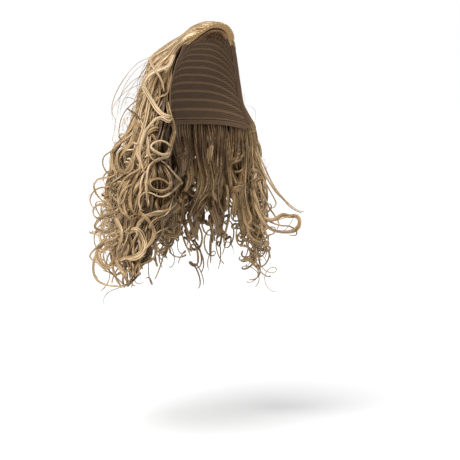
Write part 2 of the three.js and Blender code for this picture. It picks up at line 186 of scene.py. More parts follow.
# Then the ribbons, rings and loops on them.
DRAWN_LOCKS = (
    # This first lock, along the head's edge, is darkened with painted shade.
    (2.8, 0.1, ((171, 70), (168, 82), (165, 94), (163, 106), (162, 118), (160, 130), (157, 142))),
    (2.0, 0.22, ((176, 50), (171, 66), (168, 82), (167, 100), (168.5, 112), (171, 122))),
    (2.0, 0.46, ((177, 49), (169, 57), (161, 65), (154, 74), (150, 83), (150, 92), (146, 100), (143, 110))),
    (2.0, 0.4, ((175, 54), (167, 63), (160, 72), (155, 81), (153, 90), (149, 98), (146, 108))),
    (2.0, 0.36, ((173, 60), (166, 70), (160, 79), (157, 87), (152, 95))),
    (2.2, 0.36, ((171, 66), (166, 76), (162, 84), (158, 91), (152, 98), (148, 106), (143, 116), (138, 126))),
    (1.8, 0.56, ((181, 42), (173, 49), (166, 57), (161, 66))),
    (2.2, 0.44, (
        (184, 42), (178, 47), (172, 60), (168, 70), (164, 80), (160, 88), (154, 93), (147, 96), (142, 103),
        (139, 113), (136, 124), (131, 134), (124, 142),
    )),
    (1.6, 0.58, (
        (187, 36), (179, 41), (168, 49), (157, 55), (150, 60), (148, 68), (146, 77), (143, 86), (139, 94),
        (137, 104), (135, 116), (131, 128),
    )),
    (2.4, 0.48, (
        (178, 50), (172, 68), (170, 84), (167, 94), (160, 97), (154, 103), (149, 111), (146, 121), (144, 131),
        (147, 143), (148, 155), (146, 166), (139, 174), (131, 181), (126, 192), (123, 204), (122, 216),
    )),
    (2.2, 0.5, (
        (140, 122), (133, 132), (125, 139), (117, 146), (112, 154), (112, 164), (116, 172), (122, 176),
    )),
    (1.8, 0.44, (
        (138, 150), (136, 160), (131, 168), (124, 174), (117, 179), (111, 184), (109, 192), (111, 201),
    )),
    (2.0, 0.38, ((149, 168), (145, 180), (141, 190), (138, 200), (137, 209))),
    (2.0, 0.46, ((131, 172), (124, 180), (119, 190), (118, 200), (121, 210), (127, 217))),
    (1.6, 0.4, ((114, 178), (108, 185), (107, 195), (109, 204), (113, 211))),
    (1.6, 0.38, ((137, 232), (134, 242), (133, 252), (136, 260), (141, 265), (143, 270))),
    (1.8, 0.42, ((128, 238), (128, 248), (126, 258), (129, 268), (132, 276))),
    (2.0, 0.48, ((118, 255), (120, 264), (124, 273), (128, 281), (130, 285))),
    (1.6, 0.44, ((112, 262), (114, 272), (117, 280), (121, 286))),
    (1.2, 0.41, ((148, 232), (153, 223), (160, 219), (168, 219.5))),
    (0.8, 0.46, ((151, 232), (154, 240), (156.5, 244), (157.5, 250), (156, 255), (152, 260))),
    (0.8, 0.45, ((148, 242), (153, 236), (158, 232), (163, 229.5), (168, 227.5))),
    (0.6, 0.5, ((136, 266), (143, 263.5), (149, 260.5), (154, 257), (158, 252))),
    (1.0, 0.52, ((117, 230), (121, 233.5), (126, 234.5), (131, 232.5), (135, 230))),
    (1.2, 0.5, ((129, 228), (127, 237), (124, 246), (121.5, 253), (120, 260))),
    (1.6, 0.42, ((127, 254), (130, 262), (133, 268), (132.5, 275), (129, 282))),
    (1.8, 0.42, ((131, 250), (135, 259), (139, 265), (139, 271), (135, 277))),
    (0.6, 0.46, ((178, 184), (176, 194), (170, 202), (165, 210), (158, 214))),
    (1.8, 0.5, (
        (141, 135), (134, 143), (126, 147), (119, 152), (117, 160), (119, 168), (125, 173), (131, 170),
        (133, 162), (131, 154),
    )),
    (2.4, 0.5, ((146, 160), (140, 169), (135, 179), (131, 190), (130, 201), (133, 211), (139, 216))),
    (1.8, 0.48, ((128, 178), (125, 190), (124, 203), (126, 214), (131, 219), (138, 217), (143, 216))),
    (2.6, 0.56, (
        (182, 41), (172, 51), (162, 64), (155, 80), (150, 95), (148, 108), (146, 119), (143, 130), (139, 143),
        (138, 153), (141, 163), (144, 174), (146, 186), (147, 198), (148, 208),
    )),
    (2.4, 0.58, (
        (180, 42), (170, 52), (159, 66), (151, 82), (145, 98), (141, 110), (140, 120), (145, 131), (148, 142),
        (148, 152), (145, 163), (138, 170), (129, 175), (122, 183), (117, 193),
    )),
    (1.4, 0.66, ((155, 120), (151, 132), (150, 140), (149, 148), (149.5, 154), (152, 159), (157, 162))),
    (2.8, 0.38, (
        (158, 165), (164, 168), (169, 175), (171, 183), (168, 189), (161, 191), (153, 189), (149, 184),
        (151, 180), (158, 178.5), (165, 181), (170, 186), (172, 193),
    )),
    (2.2, 0.66, (
        (172, 144), (171, 150), (168, 156), (161, 158.5), (154, 162), (149, 167), (147, 174), (147, 184),
        (148, 195), (149, 206),
    )),
    (2.6, 0.58, (
        (109, 205), (112, 212), (115.5, 219), (119, 226), (121.5, 232), (121.5, 238), (119.5, 244),
        (116, 252),
    )),
    (2.4, 0.52, ((114, 256), (117, 262), (120, 268), (124, 275), (127, 281), (127.5, 287))),
    (1.3, 0.6, (
        (173, 197), (170.5, 206), (169, 211), (165, 215), (160, 217), (155, 219), (151, 223), (148, 229),
    )),
    (2.6, 0.56, (
        (176, 203), (170, 209), (163, 212), (155, 213.5), (147, 216), (142, 219), (138.5, 224), (137, 230),
        (137, 237),
    )),
    (1.9, 0.62, (
        (136, 206), (140, 212), (143.5, 215.5), (147.5, 219.5), (151, 224.5), (153.5, 231), (153, 238),
        (149.5, 244), (145, 248.5), (140, 253), (134, 257),
    )),
    (3.6, 0.6, (
        (128, 233), (132, 230), (136, 230), (139.5, 233), (142.5, 239), (144.5, 245.5), (143, 251),
        (139, 255.5), (133, 258), (126, 258), (120, 261),
    )),
    (0.9, 0.36, (
        (124, 140), (117, 147), (110, 152), (104.5, 156), (102.5, 162), (104.5, 169), (109, 174), (116, 176),
    )),
    (1.2, 0.46, (
        (122, 168), (113, 176), (104, 178), (97, 180), (94, 186), (96, 193), (100.5, 199), (107, 205),
    )),
    (0.8, 0.41, ((116, 186), (106, 187), (98, 188.5), (92.5, 193), (90, 200), (92, 206), (97, 211))),
    (1.3, 0.48, (
        (122, 205), (112, 208), (104, 205.5), (97, 205.5), (93, 210), (94.5, 216), (99, 218), (106, 214),
        (110, 210),
    )),
    (1.4, 0.36, (
        (124, 208), (114, 213), (106, 215.5), (99, 220), (95, 226), (98, 229.5), (106, 231), (114, 229),
        (119, 226),
    )),
    (1.2, 0.52, (
        (128, 226), (119, 232), (109, 235), (101, 243), (95, 249), (90, 255.5), (92.5, 260), (97, 263),
    )),
    (1.8, 0.52, (
        (126, 230), (117, 237), (107, 241), (99, 247), (95.5, 255), (97.5, 262), (103, 267), (110, 268),
        (116, 264),
    )),
    (1.4, 0.56, (
        (124, 236), (117, 243), (109, 247), (102, 250.5), (99.5, 257), (102, 264), (107.5, 266), (112, 262),
        (113, 255), (109, 250), (103, 251),
    )),
    (1.2, 0.16, ((136, 270), (131, 280), (125, 285), (120, 281), (114, 275.5), (108, 272), (102.5, 270.5))),
    (0.7, 0.36, ((134, 276), (127, 285), (117, 288.5), (109, 292), (104.5, 297), (103.5, 302), (105, 305))),
    (1.2, 0.6, (
        (118, 238), (105, 243), (97, 252), (93.5, 264), (94, 274), (98, 281), (105, 284.5), (113, 286),
        (121, 286), (128, 283), (131, 277),
    )),
    (0.4, 0.46, (
        (152, 56), (146, 59), (138, 63), (129, 72), (119, 87), (113, 101), (112, 112), (116, 122), (114, 132),
        (113, 141), (117, 149),
    )),
    (0.5, 0.46, ((150, 60), (144, 70), (139, 78), (137, 86), (138, 93), (142, 98))),
    (0.4, 0.36, ((149, 62), (141, 74), (131, 88), (124, 100), (121, 110))),
    (0.35, 0.5, ((146, 62), (136, 70), (128, 80), (122, 92), (119, 104), (117, 116), (114, 128), (116, 140))),
    (0.3, 0.5, ((141, 84), (132, 88), (123, 94), (116, 102), (112, 111), (113, 121), (116, 131))),
    (0.3, 0.46, ((143, 76), (134, 80), (126, 88), (120, 97), (116, 107))),
    (1.1, 0.1, ((142, 122), (138, 117), (134, 113), (130, 110.5), (126.5, 108))),
    (0.8, 0.31, ((146, 90), (139, 98), (131, 105), (124, 113), (120, 123), (119, 134), (121, 144))),
    (1.3, 0.74, (
        (160, 160), (166, 164), (172, 171), (178, 178), (180.5, 182), (177, 187), (171, 192), (165, 196),
        (159, 196.5), (152, 193.5), (146, 192), (141, 195.5), (139, 202), (140, 208), (144, 211),
    )),
    (2.6, 0.3, (
        (167, 98), (168, 106), (170, 115), (173, 124), (174.5, 133), (172.5, 142), (169, 150), (164, 156),
    )),
    (2.1, 0.66, (
        (174, 134), (172.5, 142), (171, 149), (167, 154), (161, 154.5), (155, 151), (151, 147), (154, 143),
        (161, 141), (167, 143), (171, 148), (169, 155),
    )),
    (2.3, 0.86, (
        (187, 38), (181, 42), (175, 52), (169, 65), (161, 69), (152, 73), (146, 79), (144, 86), (148, 94),
        (152, 101), (157, 109), (163, 115), (169, 117), (171.5, 119.5), (168, 121.5), (162, 118), (156, 119),
        (150, 125), (145, 132), (142, 141), (140, 152), (141, 162), (145, 175),
    )),
    (1.9, 0.8, (
        (190, 34), (184, 36), (176, 42), (167, 48), (159, 52), (153.5, 55.5), (151, 60), (152.5, 65.5),
        (156, 71), (160, 77.5), (163, 85), (164, 92),
    )),
)

# Locks that swing out on the left, drawn in the same way.
FAR_LOCKS = (
    (1.6, 0.48, (
        (254, 150), (260, 166), (265, 182), (267, 197), (265, 206), (263, 215), (260, 226), (258, 235),
        (256, 244),
    )),
    (1.4, 0.52, (
        (254, 164), (259, 178), (262, 195), (263, 208), (262, 220), (262, 230), (264, 236), (266, 241),
        (264, 247),
    )),
    (1.2, 0.58, (
        (252, 186), (257, 200), (261, 215), (264, 226), (266, 233), (268, 239), (266, 245), (262, 248),
    )),
    (0.9, 0.5, (
        (252, 152), (259, 170), (268, 187), (274, 198), (276, 204), (273, 208), (268, 207), (265, 211),
        (266, 217),
    )),
    (1.3, 0.42, (
        (254, 172), (261, 190), (267, 203), (270, 209), (273, 213), (276, 218), (279, 224), (277, 230),
    )),
    (2.2, 0.58, (
        (251, 182), (255, 196), (259, 207), (263, 215), (267, 219), (273, 219.5), (278, 217), (283, 214.5),
        (289, 216), (295, 216), (299, 219), (299.5, 225), (296.5, 229.5), (290, 232), (282, 232), (275, 231),
        (269, 228.5), (265, 224),
    )),
    (2.0, 0.62, (
        (250, 188), (254, 202), (259, 214), (263, 221), (268, 227), (274, 230.5), (282, 232), (289, 231.5),
        (295, 229), (298.5, 224), (298.5, 218), (294, 215), (288, 217), (282, 218.5), (276, 221),
    )),
    (1.2, 0.58, (
        (252, 184), (257, 200), (261, 212), (266, 219), (273, 223), (281, 225.5), (288, 226), (293, 228),
        (296.5, 231), (296, 235), (291, 235.5), (287, 234),
    )),
    (1.2, 0.6, (
        (252, 140), (258, 158), (267, 178), (276, 192), (283, 199), (288, 205), (294, 209.5), (299, 212),
        (304, 213.5),
    )),
    (1.0, 0.68, (
        (252, 134), (259, 154), (269, 177), (278, 192), (286, 201), (293, 207), (300, 211), (305, 211.5),
    )),
    (0.4, 0.5, ((280, 232), (286, 229), (290, 224), (293, 219), (297, 215), (302, 214))),
)
FAR_FACE = -112.0  # how far those lie from the axis, towards the camera

# What drawn locks have in common, named as above. under is how deep the root lies among the others, emerge
# the share of the length in which it comes out, and over how much further out the tip lies. Where the hair
# curls, which sets in between two pixels down, a lock sways out and back, once in so many pixels and each a
# step ahead of the last.
DRAWN = dict(
    hairs=7, points=70, half=(0.7, 1.0, 0.35), contrast=0.0, shade=0.0, under=7.0, emerge=0.2, over=3.0,
    curled=(110.0, 190.0), sway=4.0, sway_length=34.0, sway_step=0.37,
)
DRAWN_OUTWARD = np.array((1, 0.2, 0))  # what of a root's x, y and z counts in its direction outwards

# The hair's right edge: how far across and between which stations it runs, and depths at its middle and at
# its outer and inner faces. Locks short of the inner face lie back lean times as much, or inside_lean times.
EDGE = dict(
    across=0.97, stations=(-0.02, 1.1), samples=200, middle=0.6, outer=0.9, inner=0.0, lean=3, inside_lean=8,
)
ROUNDS = 4  # rounds in which a point seen at a pixel settles in its place

LINE_POINTS = 140  # stations on a lock's own line
STRAIGHT_SHARE = 0.36  # share of a line's points that lie before its curl
FLATNESS = 0.5  # a lock's thickness as a share of its width
CURL_LEAN = 1.9  # how strongly a curl turns about the direction across, against a random one
FLOW_LENGTH = 390  # the flow's own length, root to tip
FIRST_CURL = 0.4  # no curl starts above this station
MOST_TURNS = 3.0
TURN_POWER = 1.1  # over 1, a curl tightens towards the tip
CURL_GROWS = 0.45  # share of the curl in which its radius grows
CURL_SHRINKS = 0.2  # share of the radius that is lost again at the tip
BEFORE_CURL = 0.1  # stations between a root and the first place where its lock may curl
CLUMP_PLACE = (0.1, 0.9)  # where in its own strip of the flow a clump stands
LOCK_ASIDE = 1.2  # how far a lock leaves its clump, in clumps
LONGER = dict(by=0.03, across=(0.5, 0.9))  # stations that the locks near the edges are longer by
FREED = (0.04, 0.5)  # shares of the way between which a lock comes free of its row
CROSSED = (0.03, 0.5)  # shares of the way between which it crosses over
GATHERED = (0.3, 0.5)  # shares of the way between which it gathers with the others
SIDE_WAVE = dict(times=(0.8, 1.8), size=0.03)  # gentle waves across on the whole way
DEPTH_WAVE = dict(times=(2, 4), size=0.07)  # gentle waves in and out
DRAWN_BACK = dict(share=0.11, stations=(0.35, 0.8))  # how far the edges draw back on the way down
FLATTER = dict(share=0.12, stations=(0.45, 0.6), across=(0.35, 0.65))  # how much flatter the sides lie below
RISE = dict(height=7.0, up=(-0.01, 0.04), down=(0.06, 0.17))  # the hair rises just behind the front edge
LOCK_WIDTHS = (0.65, 1.3)  # shares of a kind's width
FIRST_SEED = 11
DRAWN_SEED = 5

# A lock's strips: how ragged their ends are, how far they stand off its ellipse in so many waves, how far
# each leaves its place between its neighbours and all twist round, how much they overlap, a strip's thickness
# as a share of half its width, how much its tone varies, and shares of the way between which the roots'
# darker tone ends, which is partly real darker roots and partly painted shade.
STRIP = dict(
    ragged=0.025, stand_off=0.16, waves=(1, 3), aside=0.16, twist=0.8, overlap=1.5, thick=0.45, tones=0.1,
    shade=(0.05, 0.6),
)

# Cap, bands and comb, as the solids have them
CAP = dict(front=0.006, nape=0.46, width=0.97, clear=0.5, wall=1.2)
FRONT_BAND = dict(width=9.0, thick=2.4)
SIDE_BAND = dict(width=6.0, thick=1.9)
COMB = dict(span=0.75, spine=5.0, tooth=20.0, tooth_width=2.0, thick=1.3, teeth=11)
GAP = 0.8

# Their finer form. square is the power of a rounded section, 2 for a round one.
NET = dict(rows=169, columns=41, ridges=14, relief=0.35, mesh=3.0, stitch=1.1)
BAND = dict(corners=20, square=5, blunt=0.1, thinner=0.1, front_points=120, nape_points=180, side_points=280)
STITCH = dict(period=3.4, reach=0.3, radius=0.26, corners=6, heights=(0.93, 0.02))
SPINE = dict(points=48, corners=20, square=4)
TOOTH = dict(points=14, corners=8, square=2.5, flat=0.8, slimmer=0.25, tip_starts=0.75, tip=0.26)

# Finishes. Colours go from 0 to 255, and a ramp is places on it and their colours. Noise is in turns a metre,
# and a bump is its strength and its height in metres. STREAKS is how quickly a hair's streaks change with its
# tint, along it and across it.
# A band's dark colour is painted shade where its threads dip under each other; light is their colour on top.
TAN = dict(dark=(92, 62, 32), light=(196, 160, 106), pitch=4.2, thread=(196, 160, 108))
BROWN = dict(dark=(46, 32, 20), light=(104, 78, 52), pitch=2.4, thread=(92, 68, 44))
# The net's darkest colour is painted shade in its holes and between its threads.
NET_RAMP = ((0.0, (30, 21, 13)), (0.55, (88, 65, 43)), (1.0, (132, 102, 68)))
COMB_RAMP = ((0.35, (58, 36, 20)), (0.65, (134, 92, 52)))
HAIR_RAMP = ((0.0, (65, 44, 26)), (0.5, (165, 134, 93)), (1.0, (220, 196, 161)))
FLOOR_RAMP = ((0.3, (228, 228, 228)), (0.7, (233, 233, 233)))
HAIR_SHINE = dict(specular_ior_level=0.7, specular_tint=(1.0, 0.84, 0.66, 1.0))
STREAKS = dict(tint=60.0, way=9.0, across=1.8)
STREAK_SHARE = 1.1
# The share of its tone that a hair strip keeps at its edges under painted shade.
STRIP_EDGE_SHADE = 0.78
YARN = dict(noise=1000, share=0.4, threads=0.7, bump=(0.6, 0.0004))
# How fast the plies turn, the share of the thread's colour left by painted shade between them, and their
# bump.
PLY = dict(turns=4.0, dark=0.6, bump=(0.5, 0.0002))
NET_BUMP = (0.7, 0.0005)
COMB_NOISE = 90
FLOOR_NOISE = 0.05
WHITE = (1, 1, 1, 1)

PIXEL = 1.27 * MM  # what one pixel of the photograph measures at the axis
IMAGE = 460
CAMERA_AZIMUTH = -40
CAMERA_ELEVATION = 4.5
CAMERA_DISTANCE = 2.2
AXIS_PIXEL = (237, 105)  # where the axis meets the level in the photograph
LEFTWARDS = np.array((-math.cos(math.radians(CAMERA_AZIMUTH)), -math.sin(math.radians(CAMERA_AZIMUTH)), 0))
TOWARDS = np.array((math.sin(math.radians(CAMERA_AZIMUTH)), -math.cos(math.radians(CAMERA_AZIMUTH)), 0))
SENSOR = 36
FLOOR_Z = -0.534
FLOOR_SIZE = 60
SURROUND_LIGHT = 0.46


def cubic(rows, place):
    """The cubic through rows with their neighbours' slopes, at places counted in rows, and the slopes at the
    start and the end of each place's stretch."""
    slopes = np.gradient(rows, axis=0)
    row = np.minimum(place.astype(int), len(rows) - 2)
    t = (place - row)[..., None]
    a, b, start, end = rows[row], rows[row + 1], slopes[row], slopes[row + 1]
    curve = a + start * t + (3 * (b - a) - 2 * start - end) * t**2 + (start + end - 2 * (b - a)) * t**3
    return curve, start, end


def station(s):
    """The flow's values at stations s, which run straight on past the first and the last one."""
    last = len(FLOW_ROWS) - 1
    inside = np.clip(s, 0, 1)
    curve, start, end = cubic(FLOW_ROWS, inside * last)
    beyond = ((s - inside) * last)[..., None]
    values = curve + beyond * np.where(beyond < 0, start, end)
    return {name: values[..., i] for i, name in enumerate(FLOW_COLUMNS)}


def mix(a, b, t):
    """On the straight way from a at t = 0 to b at t = 1."""
    return a + (b - a) * t


def smooth(t, low=0.0, high=1.0):
    """Rises from 0 at low to 1 at high with level ends."""
    x = np.clip((t - low) / (high - low), 0, 1)
    return x * x * (3 - 2 * x)


def drawn_back(s):
    """What the edges draw back to at stations s, as a share of how far across they stand."""
    return 1 - DRAWN_BACK["share"] * smooth(s, *DRAWN_BACK["stations"])


def arc_through(values, t):
    """The parabola through the values at t = 0, a half and 1."""
    first, middle, last = values
    return first * (1 - t) * (1 - 2 * t) + middle * 4 * t * (1 - t) + last * t * (2 * t - 1)


def flow_point(u, s, depth):
    """Points of the flow: u turns from the right edge as worn (-1) to the left one (1), s goes from the
    front edge to the tips and depth from the in face to the out face."""
    at = station(s)
    edge = np.abs(u) ** EDGE_POWER
    r = mix(mix(at["in_back_r"], at["in_side_r"], edge), mix(at["out_back_r"], at["out_side_r"], edge), depth)
    z = mix(mix(at["in_back_z"], at["in_side_z"], edge), mix(at["out_back_z"], at["out_side_z"], edge), depth)
    turn = u * np.radians(np.where(u < 0, at["turn_right"], at["turn_left"]))
    return np.stack((r * np.sin(turn), r * np.cos(turn), z), axis=-1) - SEAT


def unit(v):
    """Vectors made one long."""
    return v / np.maximum(np.linalg.norm(v, axis=-1, keepdims=True), 1e-9)


def flow_frame(u, s, depth, near=0.004):
    """Unit vectors across, down and outward of the flow, from small steps along u and s."""
    across = unit(flow_point(u + near, s, depth) - flow_point(u - near, s, depth))
    down = unit(flow_point(u, s + near, depth) - flow_point(u, s - near, depth))
    outward = unit(np.cross(across, down))
    return across, np.cross(outward, across), outward


def lock_lines(kind, rng):
    """Lines of a kind's locks, as locks by stations by xyz, with the outward direction, the share of the way
    at each station and how far out each lock lies. A line is a flow line that crosses over and waves gently,
    plus a circle in the curl's plane whose radius grows from the start of the curl. The plane's normal is
    across the hair plus a random vector, so the curls show as rings from the side. The locks of a clump share
    their draws, but for a small part."""
    clumps, members = kind["clumps"], kind["locks"]
    locks = clumps * members

    def draw(low, high, own=0.1):
        """Even draws, shared by a clump, plus each lock's own in a part of the range."""
        shared = np.repeat(rng.uniform(low, high, (clumps, 1)), members, axis=0)
        return shared + own * (high - low) * rng.uniform(-0.5, 0.5, (locks, 1))

    def turned(own=0.2):
        """Random vectors, shared in the same way."""
        shared = np.repeat(rng.normal(size=(clumps, 3)), members, axis=0)
        return shared + own * rng.normal(size=(locks, 3))

    def wave(times, size):
        """A sine of the way with its own number of turns and start."""
        return size * np.sin(2 * np.pi * (draw(*times) * way + draw(0, 1, own=0.12)))

    clump = np.arange(clumps) + rng.uniform(*CLUMP_PLACE, clumps)
    place = 2 * np.repeat(clump, members)[:, None] / clumps - 1
    place = np.clip(place + rng.uniform(-LOCK_ASIDE, LOCK_ASIDE, (locks, 1)) / clumps, -1, 1)
    home = np.sign(place) * mix(*kind["stand"], np.abs(place))
    longer = LONGER["by"] * smooth(np.abs(home), *LONGER["across"])
    tip = kind["tip"] - kind["scatter"] * draw(0, 1, own=0.3).clip(0, 1) + longer
    start = np.maximum(tip - draw(*kind["curl"], own=0.25), max(FIRST_CURL, kind["root"] + BEFORE_CURL))
    q = np.linspace(0, 1, LINE_POINTS)[None, :]
    before = np.clip(q / STRAIGHT_SHARE, 0, 1)
    after = np.clip((q - STRAIGHT_SHARE) / (1 - STRAIGHT_SHARE), 0, 1)
    s = kind["root"] + (start - kind["root"]) * before + (tip - start) * after
    way = (s - kind["root"]) / (kind["tip"] - kind["root"])

    freed = smooth(way, *FREED)
    drift = draw(-kind["drift"], kind["drift"], own=0.3) * smooth(way, *CROSSED)
    u = home + drift + freed * wave(**SIDE_WAVE)
    u = np.clip(u, -kind["stand"][1], kind["stand"][1]) * drawn_back(s)
    outer = draw(0, 1, own=0.35).clip(0, 1)
    flatter = FLATTER["share"] * smooth(s, *FLATTER["stations"]) * smooth(np.abs(u), *FLATTER["across"])
    gathered = 1 - kind["gather"] * smooth(way, *GATHERED)
    apart = gathered * mix(*kind["spread"], outer) + wave(**DEPTH_WAVE)
    depth = (arc_through(kind["depth"], way) + freed * apart) * (1 - flatter)
    across, down, outward = flow_frame(u, s, depth)

    normal = unit(turned() + np.array((CURL_LEAN, 0, 0)))
    first = unit(np.cross(normal, turned()))
    second = np.cross(normal, first)
    basis = np.stack((across, down, outward), axis=-2)
    e1 = np.einsum("lc,lpcx->lpx", first, basis)
    e2 = np.einsum("lc,lpcx->lpx", second, basis)
    hand = np.where(draw(0, 1, own=0) < 0.5, -1, 1)
    turns = np.minimum(FLOW_LENGTH * (tip - start) / draw(*kind["pitch"]), MOST_TURNS)
    angle = hand * 2 * np.pi * (turns * after**TURN_POWER + draw(0, 1))
    radius = draw(*kind["radius"], own=0.25) * smooth(after, 0, CURL_GROWS) * (1 - CURL_SHRINKS * after)
    circle = radius[..., None] * (np.cos(angle)[..., None] * e1 + np.sin(angle)[..., None] * e2)
    rise = RISE["height"] * smooth(s, *RISE["up"]) * (1 - smooth(s, *RISE["down"])) * kind["depth"][0]
    return flow_point(u, s, depth) + circle + rise[..., None] * outward, outward, way, outer


def carried_frame(line, outward):
    """Unit vectors along, beside and out of each line. The side starts across the outward direction and is
    carried from station to station without twisting."""
    along = unit(np.gradient(line, axis=1))
    side = np.empty_like(line)
    side[:, 0] = unit(np.cross(along[:, 0], outward[:, 0]))
    for k in range(1, line.shape[1]):
        last = side[:, k - 1]
        side[:, k] = unit(last - np.sum(last * along[:, k], axis=-1, keepdims=True) * along[:, k])
    return along, side, np.cross(side, along)


def through(points, count, fine=16):
    """Even stations along the cubic through points, which is first cut into fine steps a point."""
    curve = cubic(points, np.linspace(0, len(points) - 1, fine * len(points)))[0]
    run = lengths(curve, 0)
    even = np.linspace(0, run[-1], count)
    return np.stack([np.interp(even, run, curve[:, axis]) for axis in range(curve.shape[1])], axis=-1)


def seen_at(x, y, near):
    """Points that the camera sees at pixels x and y and that lie near towards it from the axis: how far left
    and how high each is, and its xyz. What a pixel measures, from the picture's middle, shrinks towards the
    camera, so the height is worked out in a few rounds."""
    e = math.radians(CAMERA_ELEVATION)
    middle = IMAGE / 2
    high = (AXIS_PIXEL[1] - y) * PIXEL / MM
    for _ in range(ROUNDS):
        share = 1 - (near * math.cos(e) + high * math.sin(e)) * MM / CAMERA_DISTANCE
        up = ((middle - y) * share - (middle - AXIS_PIXEL[1])) * PIXEL / MM
        high = (up + near * math.sin(e)) / math.cos(e)
    left = ((middle - x) * share - (middle - AXIS_PIXEL[0])) * PIXEL / MM
    place = left[:, None] * LEFTWARDS + near[:, None] * TOWARDS + high[:, None] * np.array((0, 0, 1)) - SEAT
    return left, high, place


def on_the_edge(x, y, lift, lean=EDGE["lean"]):
    """Points of the hair's right edge that the camera sees at pixels x and y, raised towards the camera by
    lift. The edge is the upright plane through the axis whose turn belongs to the height. Past the edge's
    outer face a point lies back by as much as it is further out. Short of its inner face it lies back by lean
    times as much, until it meets the inner face of the hair behind."""
    stations = np.linspace(*EDGE["stations"], EDGE["samples"])
    across = -EDGE["across"] * drawn_back(stations)
    middle, outer, inner = (
        flow_point(across, stations, 0 * across + EDGE[face]) + SEAT for face in ("middle", "outer", "inner")
    )
    heights = -middle[:, 2]
    facing = (middle @ TOWARDS) / (middle @ LEFTWARDS)
    outer, inner = outer @ LEFTWARDS, inner @ LEFTWARDS
    reach = inner * np.hypot(1, facing)
    near = 0 * x
    for _ in range(ROUNDS):
        left, high, _ = seen_at(x, y, near)
        past = np.maximum(left - np.interp(-high, heights, outer), 0)
        short = np.maximum(np.interp(-high, heights, inner) - left, 0)
        behind = np.sqrt(np.maximum(np.interp(-high, heights, reach) ** 2 - left**2, 0))
        on_edge = left * np.interp(-high, heights, facing)
        near = on_edge - past - np.minimum(lean * short, np.maximum(on_edge + behind, 0)) + lift
    return seen_at(x, y, near)[2]


def inside_the_edge(x, y, lift):
    """The same, for locks that show inside the edge and lie close to the hair behind."""
    return on_the_edge(x, y, lift, EDGE["inside_lean"])


def on_the_far_side(x, y, lift):
    """Points of the upright plane across the view through the hair's left edge, at pixels x and y, raised
    towards the camera by lift."""
    return seen_at(x, y, FAR_FACE + lift)[2]


def drawn_lines(locks, face, lowest, topmost):
    """Lines of drawn locks on a face of the hair, as lock_lines gives them, from the lowest lock to the
    topmost. A lock comes out from among the others at its root and then lies on them, further out as it runs
    on so that it passes over itself. Where the hair curls it sways out and back as a sine of the distance
    run."""
    t = np.linspace(0, 1, LINE_POINTS)
    heights = np.linspace(lowest, topmost, len(locks))
    flat = [through(np.array(points, float), LINE_POINTS) for _, _, points in locks]
    run = np.array([lengths(points, 0) for points in flat])
    ahead = DRAWN["sway_step"] * np.arange(len(locks))[:, None]
    sway = DRAWN["sway"] * np.sin(2 * np.pi * (run / DRAWN["sway_length"] + ahead))
    lifts = mix(-DRAWN["under"], heights[:, None], smooth(t, 0, DRAWN["emerge"])) + DRAWN["over"] * t
    lifts = lifts + sway * smooth(np.array(flat)[..., 1], *DRAWN["curled"])
    line = np.stack([face(*points.T, lift) for points, lift in zip(flat, lifts)])
    outward = np.broadcast_to(unit(line[:, :1] * DRAWN_OUTWARD), line.shape)
    return line, outward, np.broadcast_to(t, line.shape[:2]), np.full((len(line), 1), 0.5)


